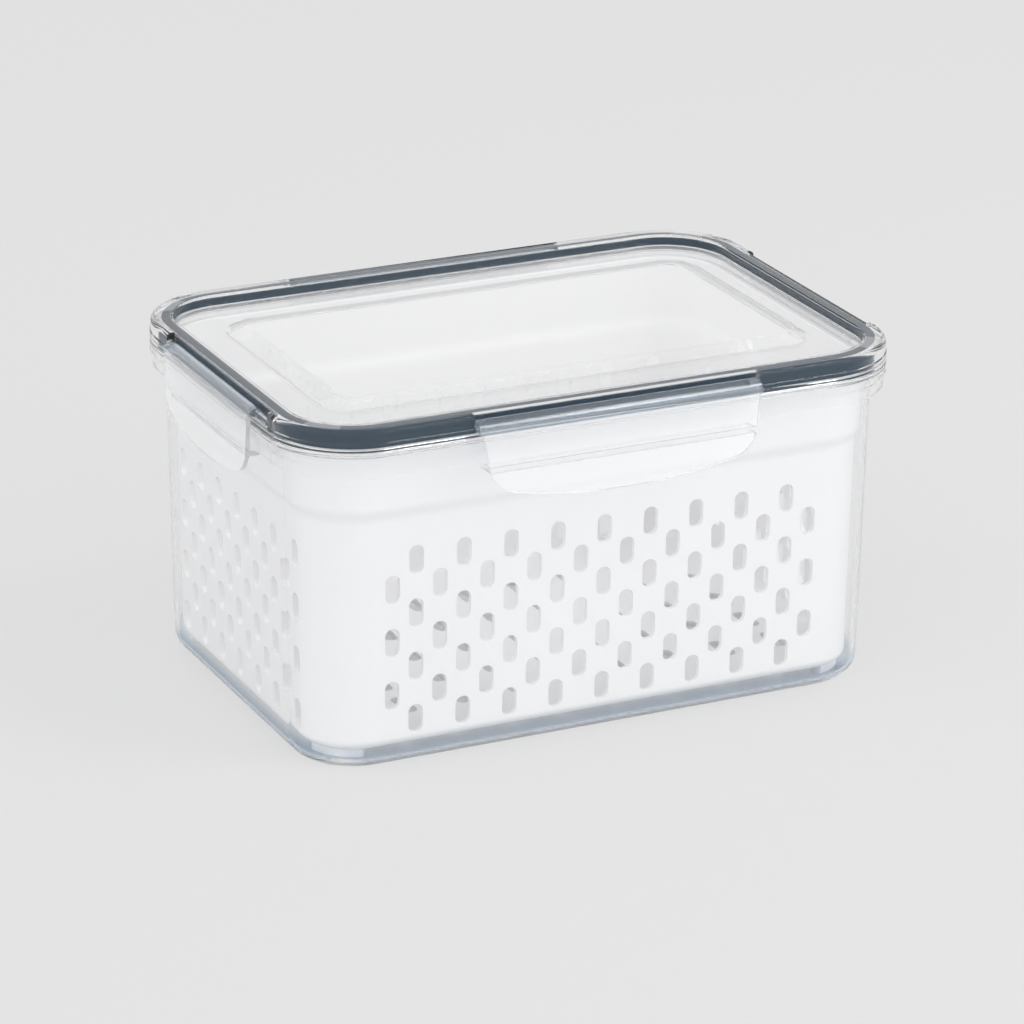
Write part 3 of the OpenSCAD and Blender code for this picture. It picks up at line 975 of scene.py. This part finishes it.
def make_latch(side):
    """One latch and its crease height: its side view crossed with its front view, and bored."""
    s = sizes()
    half, hood, reach, low = latch_numbers(side)
    place, hinge_y, hinge_z = latch_frame(side)
    section, crease_z = latch_section(hood, reach, -hinge_y, hinge_z, low)
    along = Matrix(((0, 0, 1), (1, 0, 0), (0, 1, 0))).to_4x4()
    across = Matrix(((1, 0, 0), (0, 0, -1), (0, 1, 0))).to_4x4()
    piece = prism(f"latch_{side}", section, -half, half, place @ along)
    outline = latch_outline(half, crease_z, low)
    depth = 4 * PAST
    combine(piece, prism("outline", outline, -depth, depth, place @ across), "INTERSECT")
    mouth, bottom = half + END_TAPER / 2, half - s.pin_length - s.latch_gap
    for sign in (-1, 1):
        bore = hinge_rod("bore", side, sign * mouth, sign * bottom, s.pin + BORE_PLAY)
        combine(piece, bore, "DIFFERENCE")
    return piece, crease_z


def notch_and_pins(lid, side):
    """Cuts a latch notch into the rim of the lid and stands its two pins in it."""
    s = sizes()
    half = latch_numbers(side)[0]
    place, _, hinge_z = latch_frame(side)
    sunk, shoulder = 0.5 * MM, 0.2 * MM
    free = {-1: s.latch_gap, 1: s.latch_gap}
    if side in ("left", "right"):
        front = -1 if side == "left" else 1
        free = {front: s.side_relief, -front: s.rear_relief}
    floor = hinge_z - s.knuckle - s.latch_gap
    tool = block("notch", (-half - free[-1], -s.notch, floor), (half + free[1], PAST, LID_HIGH.z + PAST))
    tool.data.transform(place)
    combine(lid, tool, "DIFFERENCE")
    for sign in (-1, 1):
        root = sign * (half + free[sign] + sunk)
        combine(lid, hinge_rod("pin", side, sign * (half - s.pin_length), root, s.pin), "UNION")
        if free[sign] > s.latch_gap:
            stop = sign * (half + s.latch_gap)
            combine(lid, hinge_rod("pin shoulder", side, stop, root, s.pin + shoulder), "UNION")


# Operators


class KEEPER_OT_container(bpy.types.Operator):
    """Makes the clear container with its collar and lip"""

    bl_idname = "keeper.container"
    bl_label = "Container"

    def execute(self, context):
        f = finishes()
        piece = sweep("container_bin", container_section(), rim_core(), True)
        flat_normals(piece)
        # The foot colour is painted shade on the bottom edge of the bin.
        paint = clear_plastic("clear bin plastic", f.clear, clearness=0.95, wave=14.0, roughness=0.03,
                              ior=1.36, depth=f.clear_deep, density=7.0, foot=f.foot_painted_shade)
        dress(piece, paint, "bin", "clear_bin", "container")
        return {"FINISHED"}


class KEEPER_OT_basket(bpy.types.Operator):
    """Makes the white basket with its drain slots and corner feet"""

    bl_idname = "keeper.basket"
    bl_label = "Drain Basket"

    def execute(self, context):
        s, f = sizes(), finishes()
        paint = white_plastic(f.basket)
        piece = sweep("basket_body", basket_section(), basket_core(), True)
        tree = slotted_basket_tree()
        cutting = piece.modifiers.new("drain slots", "NODES")
        cutting.node_group = tree
        values = slot_values() | {"Material": paint}
        for item in tree.interface.items_tree:
            if item.in_out == "INPUT" and item.name in values:
                cutting[item.identifier] = values[item.name]
        settle(piece)
        finish_edges(piece, s.edge)
        dress(piece, paint, "basket", "white_basket", "drain_basket")
        feet = corner_feet()
        flat_normals(feet)
        feet.data.materials.append(paint)
        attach(feet, "basket")
        return {"FINISHED"}


class KEEPER_OT_lid(bpy.types.Operator):
    """Makes the clear lid with its latch notches and hinge pins"""

    bl_idname = "keeper.lid"
    bl_label = "Lid"

    def execute(self, context):
        f = finishes()
        piece = lid_shell()
        for side in SIDES:
            notch_and_pins(piece, side)
        finish_edges(piece, 0.15 * MM)
        wave = 12.0
        paint = clear_plastic("clear lid plastic", f.clear, clearness=0.99, wave=wave, roughness=0.035)
        slope = clear_plastic("soft slope plastic", f.clear, clearness=0.74, wave=wave, roughness=0.06,
                              alpha=0.5)
        panel = clear_plastic("misty panel plastic", f.clear, clearness=0.8, wave=wave, roughness=0.05)
        dress(piece, paint, "cover", "clear_lid", "lid")
        piece.data.materials.append(slope)
        piece.data.materials.append(panel)
        self.spread_plastics(piece)
        return {"FINISHED"}

    def spread_plastics(self, piece):
        """Gives the slopes under the field and the flats of the panel their own plastics."""
        s = sizes()
        steep = 0.3
        for polygon in piece.data.polygons:
            x, y, _ = (abs(value) for value in polygon.center)
            rise = polygon.normal.z
            in_field = x < LID_HIGH.x - s.field_ends and y < LID_HIGH.y - s.field_sides
            in_rim = x < LID_HIGH.x - s.rim_width and y < LID_HIGH.y - s.rim_width
            if in_field and -FLAT_RISE < rise < 0:
                polygon.material_index = 1
            elif in_field and abs(rise) > steep or in_rim and rise > FLAT_RISE:
                polygon.material_index = 2


class KEEPER_OT_seal(bpy.types.Operator):
    """Makes the soft seal in the rim of the lid"""

    bl_idname = "keeper.seal"
    bl_label = "Seal"

    def execute(self, context):
        piece = sweep("seal_soft", seal_section(), rim_core(), False)
        flat_normals(piece)
        dress(piece, soft_seal(finishes().seal), "cover", "seal_silicone", "seal_ring")
        return {"FINISHED"}


class KEEPER_OT_latches(bpy.types.Operator):
    """Makes the four clear latches"""

    bl_idname = "keeper.latches"
    bl_label = "Latches"

    def execute(self, context):
        s, f = sizes(), finishes()
        wave = 20.0
        # Painted shade: the hood plastic is tinted darker blue-grey than the flap, standing in for the
        # dark seal seen through the hood.
        hood = clear_plastic("painted shade hood plastic", f.hood, clearness=0.96, wave=wave, roughness=0.04,
                             coat=1.0)
        flap = clear_plastic("milky flap plastic", f.clear, clearness=0.78, wave=wave, roughness=0.08)
        for side, (node, body, _, _) in SIDES.items():
            piece, crease_z = make_latch(side)
            finish_edges(piece, s.edge)
            dress(piece, flap, body, "clear_latch", node)
            piece.data.materials.append(hood)
            for polygon in piece.data.polygons:
                polygon.material_index = int(polygon.center.z > crease_z - CREASE / 2)
        return {"FINISHED"}


CAMERA = {
    "azimuth": -25.639,
    "elevation": 20.871,
    "roll": 0.497,
    "distance": 1.3202,
    "focal_px": 4821.6,
    "aim": Vector((0, 0, 0.0485)),
    "offset": (0.00083, 0.00559),
}


def add_camera():
    """The camera at the photograph's angle."""
    azimuth, elevation, roll = (radians(CAMERA[k]) for k in ("azimuth", "elevation", "roll"))
    back = Vector((sin(azimuth) * cos(elevation), -cos(azimuth) * cos(elevation), sin(elevation)))
    level = Vector((cos(azimuth), sin(azimuth), 0))
    above = back.cross(level)
    right = cos(roll) * level + sin(roll) * above
    up = back.cross(right)
    data = bpy.data.cameras.new("camera")
    data.sensor_width = SENSOR
    data.lens = CAMERA["focal_px"] / PHOTO_SIDE * SENSOR
    camera = bpy.data.objects.new("camera", data)
    bpy.context.scene.collection.objects.link(camera)
    shift_x, shift_y = CAMERA["offset"]
    place = Matrix((right, up, back)).transposed().to_4x4()
    place.translation = CAMERA["aim"] + back * CAMERA["distance"] - right * shift_x - up * shift_y
    camera.matrix_world = place
    bpy.context.scene.camera = camera


def add_lamp(name, data, azimuth, elevation, distance=0.0):
    """Places a lamp in a direction from the object and turns it to look there."""
    lamp = bpy.data.objects.new(name, data)
    bpy.context.scene.collection.objects.link(lamp)
    a, e = radians(azimuth), radians(elevation)
    towards = Vector((sin(a) * cos(e), -cos(a) * cos(e), sin(e)))
    lamp.matrix_world = towards.to_track_quat("Z", "Y").to_matrix().to_4x4()
    lamp.location = towards * distance


def add_sun(name, strength, azimuth, elevation, spread_angle):
    """A wide soft lamp from a direction."""
    data = bpy.data.lights.new(name, "SUN")
    data.energy = strength
    data.angle = radians(spread_angle)
    add_lamp(name, data, azimuth, elevation)


def add_softbox(name, radiance, side, azimuth, elevation, distance):
    """A square soft lamp of a given brightness that looks at the object."""
    data = bpy.data.lights.new(name, "AREA")
    data.shape = "SQUARE"
    data.size = side
    data.energy = radiance * pi * side * side
    add_lamp(name, data, azimuth, elevation, distance)


def seen_rays(tree):
    """One for the rays that show the surroundings to the camera, straight, mirrored or through."""
    path = tree.nodes.new("ShaderNodeLightPath").outputs
    indirect = number(tree, "MAXIMUM", path["Is Glossy Ray"], path["Is Transmission Ray"])
    return number(tree, "MAXIMUM", path["Is Camera Ray"], indirect)


WORLD_LIGHT = 0.75
BACKDROP_SHARE = 0.7
FLOOR_HALF = 4.0


def add_world(shade):
    """Even studio surroundings, seen as the backdrop colour."""
    world = bpy.data.worlds.new("studio")
    bpy.context.scene.world = world
    world.use_nodes = True
    tree = world.node_tree
    tree.nodes.clear()
    output = tree.nodes.new("ShaderNodeOutputWorld")
    light = add_node(tree, "ShaderNodeBackground", {"Color": (1, 1, 1, 1), "Strength": WORLD_LIGHT})
    seen = add_node(tree, "ShaderNodeBackground", {"Color": (*shade, 1)})
    mix_shaders(tree, output, seen_rays(tree), light, seen)


def add_floor(shade):
    """A plain pale floor."""
    bm = bmesh.new()
    bmesh.ops.create_grid(bm, x_segments=1, y_segments=1, size=FLOOR_HALF,
                          matrix=Matrix.Translation((0, 0, -SEAM)))
    floor = new_object("studio_floor", bm, smooth=False)
    material, tree, output = new_material("studio floor")
    paint = {"Color": (*shade, 1)}
    lit = add_node(tree, "ShaderNodeBsdfDiffuse", paint)
    backdrop = add_node(tree, "ShaderNodeEmission", paint)
    share = number(tree, "MULTIPLY", seen_rays(tree), BACKDROP_SHARE)
    mix_shaders(tree, output, share, lit, backdrop)
    floor.data.materials.append(material)


class KEEPER_OT_stage(bpy.types.Operator):
    """Sets the camera, the lamps and the plain floor"""

    bl_idname = "keeper.stage"
    bl_label = "Stage"

    def execute(self, context):
        shade = finishes().ground
        context.scene.view_settings.view_transform = "Standard"
        add_camera()
        add_world(shade)
        add_floor(shade)
        add_softbox("key softbox", radiance=1.6, side=0.8, azimuth=32, elevation=28, distance=1.3)
        add_softbox("edge softbox", radiance=7.0, side=0.3, azimuth=50, elevation=58, distance=1.3)
        add_sun("fill lamp", strength=0.9, azimuth=-68, elevation=32, spread_angle=90)
        return {"FINISHED"}


class KEEPER_PT_panel(bpy.types.Panel):
    """Lists the pieces and their sizes"""

    bl_idname = "KEEPER_PT_panel"
    bl_label = "Fridge Container"
    bl_space_type = "VIEW_3D"
    bl_region_type = "UI"
    bl_category = "Keeper"

    def draw(self, context):
        for operator in OPERATORS:
            self.layout.operator(operator.bl_idname)
        for group in (context.scene.keeper_sizes, context.scene.keeper_finishes):
            box = self.layout.box()
            for name in group.__annotations__:
                box.prop(group, name)


OPERATORS = (KEEPER_OT_container, KEEPER_OT_basket, KEEPER_OT_lid, KEEPER_OT_seal,
             KEEPER_OT_latches, KEEPER_OT_stage)
CLASSES = (KeeperSizes, KeeperFinishes, *OPERATORS, KEEPER_PT_panel)


def register():
    for cls in CLASSES:
        bpy.utils.register_class(cls)
    bpy.types.Scene.keeper_sizes = PointerProperty(type=KeeperSizes)
    bpy.types.Scene.keeper_finishes = PointerProperty(type=KeeperFinishes)


def unregister():
    del bpy.types.Scene.keeper_finishes
    del bpy.types.Scene.keeper_sizes
    for cls in reversed(CLASSES):
        bpy.utils.unregister_class(cls)


def main():
    """Makes every piece and the stage."""
    register()
    bpy.ops.keeper.container()
    bpy.ops.keeper.basket()
    bpy.ops.keeper.lid()
    bpy.ops.keeper.seal()
    bpy.ops.keeper.latches()
    bpy.ops.keeper.stage()


if __name__ == "__main__":
    main()
